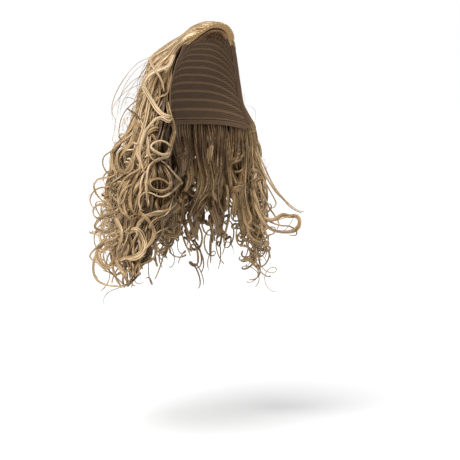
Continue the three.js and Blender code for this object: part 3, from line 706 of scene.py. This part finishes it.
def lock_strips(kind, lines, size, tone, rng):
    """Corners of hair strips, as strips by stations by three corners by xyz, with named values on them. The
    strips of a lock stand round an ellipse across its line that twists slowly and narrows to the tip. Each is
    a flat three-cornered tube whose wide side faces the ellipse's middle. size multiplies each lock's width
    and tone is how light each is."""
    line, outward, way, outer = lines
    locks, hairs, points = len(line), kind["hairs"], kind["points"]
    _, side, out = carried_frame(line, outward)

    end = 1 - np.abs(rng.normal(0, STRIP["ragged"], (locks, hairs, 1)))
    at = np.linspace(0, 1, points) * end * (LINE_POINTS - 1)
    low = np.minimum(at.astype(int), LINE_POINTS - 2)
    part = at - low
    lock = np.arange(locks).reshape(-1, 1, 1)

    def sampled(values):
        """A lock's values at the points of its hairs, straight between its stations."""
        share = part if values.ndim == 2 else part[..., None]
        return mix(values[lock, low], values[lock, low + 1], share)

    line, side, out, way = sampled(line), sampled(side), sampled(out), sampled(way)
    waves, first = (rng.uniform(*ends, (locks, hairs, 1)) for ends in (STRIP["waves"], (0, 1)))
    lift = 1 + STRIP["stand_off"] * np.sin(2 * np.pi * (waves * way + first))
    a = np.reshape(size, (-1, 1, 1)) * arc_through(kind["half"], way)
    b = a * FLATNESS
    aside = rng.uniform(-STRIP["aside"], STRIP["aside"], (locks, hairs, 1))
    place = (np.arange(hairs).reshape(1, -1, 1) + aside) / hairs
    angle = 2 * np.pi * (place + rng.uniform(-STRIP["twist"], STRIP["twist"], (locks, 1, 1)) * way)
    across_part, out_part = (a * lift * np.cos(angle))[..., None], (b * lift * np.sin(angle))[..., None]
    centre = line + across_part * side + out_part * out
    strip_out = unit((b * np.cos(angle))[..., None] * side + (a * np.sin(angle))[..., None] * out)
    strip_side = unit((a * np.sin(angle))[..., None] * side - (b * np.cos(angle))[..., None] * out)
    half = np.minimum(STRIP["overlap"] * np.pi * (a + b) / (2 * hairs), a)[..., None]
    aside, above = half * strip_side, STRIP["thick"] * half * strip_out
    corners = np.stack((centre - aside, centre + above, centre + aside), axis=-2)
    # Outer locks lighter and inner ones darker: painted shade within the hair.
    tint = np.reshape(tone, (-1, 1, 1)) + kind["contrast"] * (outer[..., None] - 0.5)
    tint = tint + rng.normal(0, STRIP["tones"], (locks, hairs, 1))
    # Darker towards the roots: partly real darker roots, partly painted shade near the cap.
    tint = tint - kind["shade"] * (1 - smooth(way, *STRIP["shade"]))
    values = {
        "tint": np.broadcast_to(np.clip(tint, 0, 1)[..., None], corners.shape[:-1]),
        "way": np.broadcast_to(way[..., None], corners.shape[:-1]),
        "across": np.broadcast_to(np.array((-1.0, 0.0, 1.0)), corners.shape[:-1]),
    }
    strips = (locks * hairs, points, 3)
    return corners.reshape(*strips, 3), {name: value.reshape(strips) for name, value in values.items()}


def end_faces(corners):
    """Corner numbers of the faces that close a tube's end: one triangle, or strips between opposite
    corners."""
    if corners == 3:
        return np.array(((0, 1, 2),))
    j = np.arange(corners // 2 - 1)
    return np.stack((j, j + 1, corners - 2 - j, corners - 1 - j), axis=-1)


def tube_faces(count, points, corners):
    """Corner numbers of the side quads of closed tubes, and of the faces at both their ends."""
    base = (np.arange(count) * points * corners).reshape(-1, 1, 1)
    ring = (np.arange(points - 1) * corners).reshape(1, -1, 1)
    j = np.arange(corners)
    k = (j + 1) % corners
    near, far = base + ring, base + ring + corners
    sides = np.stack((near + j, near + k, far + k, far + j), axis=-1)
    end = end_faces(corners)
    first = base + end[None, :, ::-1]
    last = base + (points - 1) * corners + end[None]
    return sides.reshape(-1, 4), np.concatenate((first, last)).reshape(-1, end.shape[-1])


def mesh_object(name, corners, values, material):
    """An object of closed tubes from corners, as tubes by stations by corners by xyz in millimetres, with
    named values on the corners."""
    faces = tube_faces(*corners.shape[:3])
    loops = np.concatenate([group.ravel() for group in faces]).astype(np.int32)
    sizes = np.concatenate([np.full(len(group), group.shape[1]) for group in faces])
    mesh = bpy.data.meshes.new(name)
    mesh.vertices.add(corners.size // 3)
    mesh.vertices.foreach_set("co", (corners * MM).ravel().astype(np.float32))
    mesh.loops.add(len(loops))
    mesh.loops.foreach_set("vertex_index", loops)
    mesh.polygons.add(len(sizes))
    mesh.polygons.foreach_set("loop_start", (np.cumsum(sizes) - sizes).astype(np.int32))
    mesh.update(calc_edges=True)
    mesh.shade_smooth()
    for value_name, value in values.items():
        attribute = mesh.attributes.new(value_name, "FLOAT", "POINT")
        on_corners = np.broadcast_to(value, corners.shape[:3])
        attribute.data.foreach_set("value", np.ascontiguousarray(on_corners).ravel().astype(np.float32))
    mesh.materials.append(material)
    made = bpy.data.objects.new(name, mesh)
    bpy.context.collection.objects.link(made)
    return made


def place_piece(piece, node):
    """A piece that rides on the fall in a solid's place."""
    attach(piece, "root")
    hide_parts(node)


def lengths(points, axis):
    """Distance run along an axis of a grid of points, from its first row."""
    steps = np.linalg.norm(np.diff(points, axis=axis), axis=-1)
    return np.cumsum(np.insert(steps, 0, 0, axis=axis), axis=axis)


def round_section(corners, square):
    """Corners of a closed rounded section, from -1 to 1 both ways: a superellipse of the power square, gone
    round so that a tube's faces look outwards."""
    turn = -2 * np.pi * (np.arange(corners) + 0.5) / corners
    x, y = np.cos(turn), np.sin(turn)
    return np.sign(x) * np.abs(x) ** (2 / square), np.sign(y) * np.abs(y) ** (2 / square)


def net_cloth(material):
    """The cap's net: a thin wall over the scalp between the front and the nape stations, with a rounded ridge
    at each row where hair is sewn on. Each ridge is the fourth power of a cosine along the way."""
    s = np.linspace(CAP["front"], CAP["nape"], NET["rows"])
    u = np.linspace(-CAP["width"], CAP["width"], NET["columns"])
    u, s = np.meshgrid(u, s)
    way = (s - CAP["front"]) / (CAP["nape"] - CAP["front"])
    ridge = np.maximum(np.cos(2 * np.pi * NET["ridges"] * way), 0) ** 4
    outward = flow_frame(u, s, 0 * u)[2]
    scalp = flow_point(u, s, 0 * u)
    low = CAP["clear"] + NET["relief"] * (1 - ridge)
    high = CAP["clear"] + CAP["wall"] - NET["relief"] * (1 - ridge)
    top = scalp + high[..., None] * outward
    under = scalp + low[..., None] * outward
    run = lengths(top, 0)
    across = lengths(top, 1)
    across = across - across[:, -1:] / 2

    def both(upper, lower):
        """The wall's section: along its upper face and back along its lower one."""
        return np.concatenate((upper, lower[:, ::-1]), axis=1)[None]

    values = {"run": both(run, run), "across": both(across, across), "ridge": both(ridge, ridge)}
    piece = mesh_object("cap_net_cloth", both(top, under), values, material)
    place_piece(piece, "cap_net")


def band_frame(u, s, way):
    """Where a band's inner edge runs on the scalp, the direction away from the cap and the outward one."""
    line = flow_point(u, s, 0 * u)
    outward = flow_frame(u, s, 0 * u)[2]
    away = way * np.cross(outward, unit(np.gradient(line, axis=0)))
    return line + GAP * away + CAP["clear"] * outward, away, outward


def band_piece(node, route, size, material, thread):
    """A woven band beside one edge of the cap and its zigzag seam. The band is a rounded flat section carried
    along the edge that thins towards its outer side and at both ends; the seam is a thread that runs from
    side to side as a triangle wave, on both faces."""
    start, away, outward = band_frame(*route)
    width, thick = size["width"], size["thick"]
    run = lengths(start, 0)
    end = np.minimum(run, run[-1] - run) / thick
    rounded = np.sqrt(1 - (1 - np.clip(end + BAND["blunt"], 0, 1)) ** 2)[:, None]
    x, y = (part[:: -route[-1]] for part in round_section(BAND["corners"], BAND["square"]))
    far = width * (0.5 + 0.5 * x)[None, :] + 0 * rounded
    height = thick * (0.5 + 0.5 * y * rounded * (1 - BAND["thinner"] * (1 + x)))
    corners = start[:, None] + far[..., None] * away[:, None] + height[..., None] * outward[:, None]
    values = {"run": run[None, :, None], "across": far[None]}
    place_piece(mesh_object(f"{node}_weave", corners[None], values, material), node)

    wave = 2 * np.abs(2 * (run / STITCH["period"] % 1) - 1) - 1
    middle = start + (width * (0.5 + STITCH["reach"] * wave))[:, None] * away
    faces = [middle + thick * share * outward for share in STITCH["heights"]]
    seam = thread_corners(np.stack(faces), np.stack((outward, outward)), STITCH["radius"], STITCH["corners"])
    place_piece(mesh_object(f"{node}_seam", seam, {"run": run[None, :, None]}, thread), node)


def thread_corners(lines, outward, radius, corners):
    """Round tubes carried along lines."""
    _, side, out = carried_frame(lines, outward)
    x, y = round_section(corners, 2)
    return lines[..., None, :] + radius * (x[:, None] * side[..., None, :] + y[:, None] * out[..., None, :])


def edge_route(points, **ends):
    """Arrays of u and s from one end of an edge of the cap to the other."""
    return [np.linspace(*ends[name], points) for name in ("u", "s")]


def add_bands():
    """The tan band along the front edge and the brown ones along the sides and the nape."""
    tan = woven_material("tan_weave", TAN)
    brown = woven_material("brown_weave", BROWN)
    tan_thread = thread_material("tan_thread", TAN["thread"])
    brown_thread = thread_material("brown_thread", BROWN["thread"])
    front, nape, width = CAP["front"], CAP["nape"], CAP["width"]
    straight = (-width, width)
    front_route = (*edge_route(BAND["front_points"], u=straight, s=(front, front)), -1)
    band_piece("front_band", front_route, FRONT_BAND, tan, tan_thread)
    nape_route = (*edge_route(BAND["nape_points"], u=straight, s=(nape, nape)), 1)
    band_piece("nape_band", nape_route, SIDE_BAND, brown, brown_thread)
    for node, side in (("left_band", 1), ("right_band", -1)):
        route = (*edge_route(BAND["side_points"], u=(side * width, side * width), s=(front, nape)), -side)
        band_piece(node, route, SIDE_BAND, brown, brown_thread)


def add_comb():
    """The comb under the front edge: a rounded spine bar across the scalp, and teeth that run back along it
    and taper to round points."""
    material = comb_material()
    step = 0.1
    seat = flow_point(0.0, 0.0, 0.0)
    s_per_mm = step / np.linalg.norm(flow_point(0.0, step, 0.0) - seat)
    u_per_mm = step / np.linalg.norm(flow_point(step, 0.0, 0.0) - seat)
    lift = CAP["clear"] - GAP - COMB["thick"] / 2

    u = np.linspace(-COMB["span"], COMB["span"], SPINE["points"])
    s = np.full_like(u, CAP["front"] + COMB["spine"] / 2 * s_per_mm)
    _, down, outward = flow_frame(u, s, 0 * u)
    x, y = (part[:, None] for part in round_section(SPINE["corners"], SPINE["square"]))
    bar = (flow_point(u, s, 0 * u) + lift * outward)[:, None]
    bar = bar + COMB["spine"] / 2 * x * -down[:, None] + COMB["thick"] / 2 * y * outward[:, None]
    piece = mesh_object("front_comb_spine", bar[None], {"run": lengths(bar, 0)[None]}, material)
    place_piece(piece, "front_comb")

    half = COMB["tooth_width"] / 2
    reach = COMB["span"] - half * u_per_mm
    stands, ways = np.linspace(-reach, reach, COMB["teeth"]), np.linspace(0, 1, TOOTH["points"])
    u, t = np.meshgrid(stands, ways, indexing="ij")
    s = CAP["front"] + (COMB["spine"] / 2 + t * (COMB["tooth"] + COMB["spine"] / 2)) * s_per_mm
    across, _, outward = flow_frame(u, s, 0 * u)
    tip = np.sqrt(1 - np.clip((t - TOOTH["tip_starts"]) / TOOTH["tip"], 0, 1) ** 2)
    slim = (tip * (1 - TOOTH["slimmer"] * t))[..., None, None]
    x, y = (part[:, None] for part in round_section(TOOTH["corners"], TOOTH["square"]))
    middle = (flow_point(u, s, 0 * u) + lift * outward)[:, :, None]
    wide, high = half * slim * x, TOOTH["flat"] * COMB["thick"] / 2 * slim * y
    teeth = middle + wide * across[:, :, None] + high * outward[:, :, None]
    piece = mesh_object("front_comb_teeth", teeth, {"run": 0 * t[..., None]}, material)
    place_piece(piece, "front_comb")


def new_material(name):
    """A material, its node tree and its shader."""
    material = bpy.data.materials.new(name)
    material.use_nodes = True
    return material, material.node_tree, material.node_tree.nodes["Principled BSDF"]


def feed(tree, node, **inputs):
    """Links or sets a node's inputs by their names, in small letters with _ for a space."""
    for name, value in inputs.items():
        socket = node.inputs[name.replace("_", " ").title().replace("Ior", "IOR")]
        if isinstance(value, bpy.types.NodeSocket):
            tree.links.new(value, socket)
        else:
            socket.default_value = value


def colour(red, green, blue):
    """Linear colour of an sRGB colour given from 0 to 255."""
    s = np.array((red, green, blue)) / 255
    linear = np.where(s <= 0.04045, s / 12.92, ((s + 0.055) / 1.055) ** 2.4)
    return (*map(float, linear), 1.0)


def put(tree, kind, *inputs, **settings):
    """A new node with its inputs in order, each a socket to link, a value to set or None to leave alone."""
    node = tree.nodes.new(kind)
    for name, value in settings.items():
        setattr(node, name, value)
    for socket, value in zip(node.inputs, inputs):
        if isinstance(value, bpy.types.NodeSocket):
            tree.links.new(value, socket)
        elif value is not None:
            socket.default_value = value
    return node


def work(tree, operation, *inputs):
    """The output of a Math node."""
    return put(tree, "ShaderNodeMath", *inputs, operation=operation).outputs[0]


def attribute(tree, name):
    """A value that the mesh has on its corners."""
    return put(tree, "ShaderNodeAttribute", attribute_name=name).outputs["Fac"]


def between(tree, value, low, high, to_low=0.0, to_high=1.0):
    """A value spread smoothly from low and high to two others."""
    limits = (low, high, to_low, to_high)
    return put(tree, "ShaderNodeMapRange", value, *limits, interpolation_type="SMOOTHSTEP").outputs[0]


def tones(tree, value, *stops):
    """A colour picked by a value from stops of (place, sRGB colour)."""
    node = put(tree, "ShaderNodeValToRGB", value)
    ramp = node.color_ramp
    ramp.elements[0].position, ramp.elements[0].color = stops[0][0], colour(*stops[0][1])
    ramp.elements[1].position, ramp.elements[1].color = stops[-1][0], colour(*stops[-1][1])
    for place, tone in stops[1:-1]:
        ramp.elements.new(place).color = colour(*tone)
    return node.outputs["Color"]


def noise(tree, scale, place=None, detail=2.0):
    """The value of a noise texture at a place, or else at the object's own coordinates in metres."""
    node = put(tree, "ShaderNodeTexNoise", place or put(tree, "ShaderNodeTexCoord").outputs["Object"])
    feed(tree, node, scale=scale, detail=detail)
    return node.outputs["Fac"]


def multiplied(tree, tone, value):
    """A colour times a value."""
    node = put(tree, "ShaderNodeMix", data_type="RGBA", blend_type="MULTIPLY")
    node.inputs["Factor"].default_value = 1
    tree.links.new(tone, node.inputs["A"])
    tree.links.new(value, node.inputs["B"])
    return node.outputs["Result"]


def bumped(tree, height, strength, distance):
    """The normal of a surface with a height on it, of so many metres."""
    bump = put(tree, "ShaderNodeBump", strength, distance)
    feed(tree, bump, height=height)
    return bump.outputs["Normal"]


def threads_group(name):
    """A shader node group of crossing threads. Run and Across are distances on the cloth and Pitch the
    threads' spacing. Over is high on the middle of each thread, and at each crossing one of the two lies on
    top."""
    group = bpy.data.node_groups.new(name, "ShaderNodeTree")
    for socket in ("Run", "Across", "Pitch"):
        group.interface.new_socket(socket, in_out="INPUT", socket_type="NodeSocketFloat")
    group.interface.new_socket("Over", in_out="OUTPUT", socket_type="NodeSocketFloat")
    inside, outside = group.nodes.new("NodeGroupInput"), group.nodes.new("NodeGroupOutput")
    run, across, pitch = inside.outputs[:3]
    a = work(group, "DIVIDE", run, pitch)
    b = work(group, "DIVIDE", across, pitch)
    hump_a = work(group, "ABSOLUTE", work(group, "SINE", work(group, "MULTIPLY", a, math.pi)))
    hump_b = work(group, "ABSOLUTE", work(group, "SINE", work(group, "MULTIPLY", b, math.pi)))
    square = work(group, "ADD", work(group, "FLOOR", a), work(group, "FLOOR", b))
    which = work(group, "FLOORED_MODULO", square, 2.0)
    other = work(group, "SUBTRACT", 1.0, which)
    over = work(group, "ADD", work(group, "MULTIPLY", hump_a, which), work(group, "MULTIPLY", hump_b, other))
    group.links.new(over, outside.inputs[0])
    return group


def threads(tree, run, across, pitch, name="crossing_threads"):
    """The crossing threads placed in a material."""
    node = tree.nodes.new("ShaderNodeGroup")
    node.node_tree = bpy.data.node_groups.get(name) or threads_group(name)
    feed(tree, node, run=run, across=across, pitch=pitch)
    return node.outputs["Over"]


def woven_material(name, band):
    """A woven band: threads that cross on the slant, darker with painted shade where they dip under each
    other, with the yarn's tone wandering along it.
    """
    material, tree, shader = new_material(name)
    run, across = attribute(tree, "run"), attribute(tree, "across")
    over = threads(tree, work(tree, "ADD", run, across), work(tree, "SUBTRACT", run, across), band["pitch"])
    yarn = work(tree, "MULTIPLY", noise(tree, YARN["noise"]), YARN["share"])
    # The colour follows the threads' height: painted shade where they dip, plus the yarn's own tone.
    mixed = work(tree, "ADD", work(tree, "MULTIPLY", over, YARN["threads"]), yarn)
    feed(
        tree, shader, base_color=tones(tree, mixed, (0.15, band["dark"]), (0.95, band["light"])),
        roughness=between(tree, mixed, 0, 1, 0.9, 0.6), normal=bumped(tree, over, *YARN["bump"]),
    )
    return material


def thread_material(name, tone):
    """Sewing thread: two plies wound round each other, with painted shade in the groove between them."""
    material, tree, shader = new_material(name)
    turn = work(tree, "MULTIPLY", attribute(tree, "run"), PLY["turns"])
    ply = work(tree, "ABSOLUTE", work(tree, "SINE", turn))
    # Painted shade in the groove between the plies.
    dark = tuple(PLY["dark"] * part for part in tone)
    feed(
        tree, shader, base_color=tones(tree, ply, (0.0, dark), (0.6, tone)), roughness=0.5,
        normal=bumped(tree, ply, *PLY["bump"]),
    )
    return material


def net_material():
    """Brown knotted net: thin slanting threads over holes painted dark as shade, and a row of stitches along
    each sewn ridge, darker between the stitches with painted shade."""
    material, tree, shader = new_material("brown_net")
    run, across, ridge = (attribute(tree, name) for name in ("run", "across", "ridge"))

    def slanting(operation):
        """Thin lines where the sum or the difference of run and across is a whole number of meshes."""
        slanted = work(tree, "DIVIDE", work(tree, operation, run, across), NET["mesh"])
        return between(tree, work(tree, "PINGPONG", slanted, 0.5), 0.2, 0.08)

    mesh = work(tree, "MAXIMUM", slanting("ADD"), slanting("SUBTRACT"))
    sewn = work(tree, "MULTIPLY", between(tree, ridge, 0.05, 0.3), threads(tree, run, across, NET["stitch"]))
    # Colour follows this height: the holes and the dips between threads are painted shade.
    height = work(tree, "MAXIMUM", sewn, work(tree, "MULTIPLY", mesh, 0.7))
    feed(
        tree, shader, base_color=tones(tree, height, *NET_RAMP),
        roughness=between(tree, height, 0, 1, 0.95, 0.6), normal=bumped(tree, height, *NET_BUMP),
    )
    return material


def comb_material():
    """Moulded brown plastic with darker clouds in it, slightly uneven in gloss."""
    material, tree, shader = new_material("brown_comb")
    clouds = noise(tree, COMB_NOISE, detail=3)
    feed(
        tree, shader, base_color=tones(tree, clouds, *COMB_RAMP),
        roughness=between(tree, clouds, 0.3, 0.7, 0.38, 0.24),
    )
    return material


def hair_material():
    """Dark blond fibre: each strip's tint picks its tone, wandering along it, and its edges are darker with
    painted shade, as on a round fibre lit down its middle.
    """
    material, tree, shader = new_material("blond_hair")
    value = {name: attribute(tree, name) for name in STREAKS}
    parts = (work(tree, "MULTIPLY", value[name], quick) for name, quick in STREAKS.items())
    streak = noise(tree, 1.0, put(tree, "ShaderNodeCombineXYZ", *parts).outputs[0])
    wander = work(tree, "MULTIPLY", work(tree, "SUBTRACT", streak, 0.5), STREAK_SHARE)
    mixed = work(tree, "ADD", value["tint"], wander)
    # Painted shade along each strip's edges.
    edge = between(tree, work(tree, "MULTIPLY", value["across"], value["across"]), 0, 1, 1.0, STRIP_EDGE_SHADE)
    feed(
        tree, shader, base_color=multiplied(tree, tones(tree, mixed, *HAIR_RAMP), edge),
        roughness=between(tree, streak, 0.2, 0.8, 0.24, 0.42), **HAIR_SHINE,
    )
    return material


def floor_material():
    """Pale studio floor with a very faint unevenness."""
    material, tree, shader = new_material("pale_floor")
    feed(tree, shader, base_color=tones(tree, noise(tree, FLOOR_NOISE), *FLOOR_RAMP), roughness=0.9)
    return material


def add_hair():
    """Every kind of lock."""
    material = hair_material()
    for number, (name, kind) in enumerate(LOCK_KINDS.items()):
        rng = np.random.default_rng(number + FIRST_SEED)
        lines = lock_lines(kind, rng)
        widths = rng.uniform(*LOCK_WIDTHS, len(lines[0]))
        corners, values = lock_strips(kind, lines, widths, kind["tone"], rng)
        place_piece(mesh_object(name, corners, values, material), kind["node"])
    for name, locks, face, lowest, topmost in (
        ("crown_weft_broad_locks", BROAD_LOCKS, inside_the_edge, -5, -1),
        ("crown_weft_face_locks", DRAWN_LOCKS, on_the_edge, -1, 12),
        ("crown_weft_shoulder_locks", FAR_LOCKS, on_the_far_side, -1, 9),
    ):
        halves, tone, _ = zip(*locks)
        lines = drawn_lines(locks, face, lowest, topmost)
        corners, values = lock_strips(DRAWN, lines, halves, tone, np.random.default_rng(DRAWN_SEED))
        place_piece(mesh_object(name, corners, values, material), "crown_weft")


def add_stage():
    """A pale floor and a white surround."""
    bpy.ops.mesh.primitive_plane_add(size=FLOOR_SIZE, location=(0, 0, FLOOR_Z))
    floor = bpy.context.object
    floor.name = "floor"
    floor.data.materials.append(floor_material())
    world = bpy.data.worlds.new("white_surround")
    bpy.context.scene.world = world
    world.use_nodes = True
    tree = world.node_tree
    lit, seen = tree.nodes["Background"], tree.nodes.new("ShaderNodeBackground")
    feed(tree, lit, color=WHITE, strength=SURROUND_LIGHT)
    feed(tree, seen, color=WHITE, strength=1.0)
    by_camera = tree.nodes.new("ShaderNodeLightPath").outputs["Is Camera Ray"]
    shown = put(tree, "ShaderNodeMixShader", by_camera, lit.outputs[0], seen.outputs[0])
    feed(tree, tree.nodes["World Output"], surface=shown.outputs[0])


def add_sun(name, azimuth, elevation, softness, strength):
    """A far light that falls evenly over the floor; softness is the angle that it spreads over."""
    data = bpy.data.lights.new(name, "SUN")
    data.angle = math.radians(softness)
    data.energy = strength
    light = bpy.data.objects.new(name, data)
    light.rotation_euler = (math.pi / 2 - math.radians(elevation), 0, math.radians(azimuth))
    bpy.context.collection.objects.link(light)


def add_camera():
    """A long lens at the photograph's angle, with the axis on its pixel."""
    a, e = math.radians(CAMERA_AZIMUTH), math.radians(CAMERA_ELEVATION)
    towards = np.array((math.sin(a) * math.cos(e), -math.cos(a) * math.cos(e), math.sin(e)))
    right = np.array((math.cos(a), math.sin(a), 0))
    up = np.cross(towards, right)
    axis = -SEAT * MM
    centre = axis - right * (AXIS_PIXEL[0] - IMAGE / 2) * PIXEL - up * (IMAGE / 2 - AXIS_PIXEL[1]) * PIXEL
    data = bpy.data.cameras.new("camera")
    data.sensor_width = SENSOR
    data.lens = data.sensor_width * CAMERA_DISTANCE / (IMAGE * PIXEL)
    camera = bpy.data.objects.new("camera", data)
    camera.location = centre + towards * CAMERA_DISTANCE
    camera.rotation_euler = (math.pi / 2 - e, 0, a)
    bpy.context.collection.objects.link(camera)
    bpy.context.scene.camera = camera


add_camera()
add_stage()
add_sun("key", azimuth=-70, elevation=50, softness=40, strength=4.2)
net_cloth(net_material())
add_bands()
add_comb()
add_hair()
bpy.context.scene.view_settings.view_transform = "Standard"
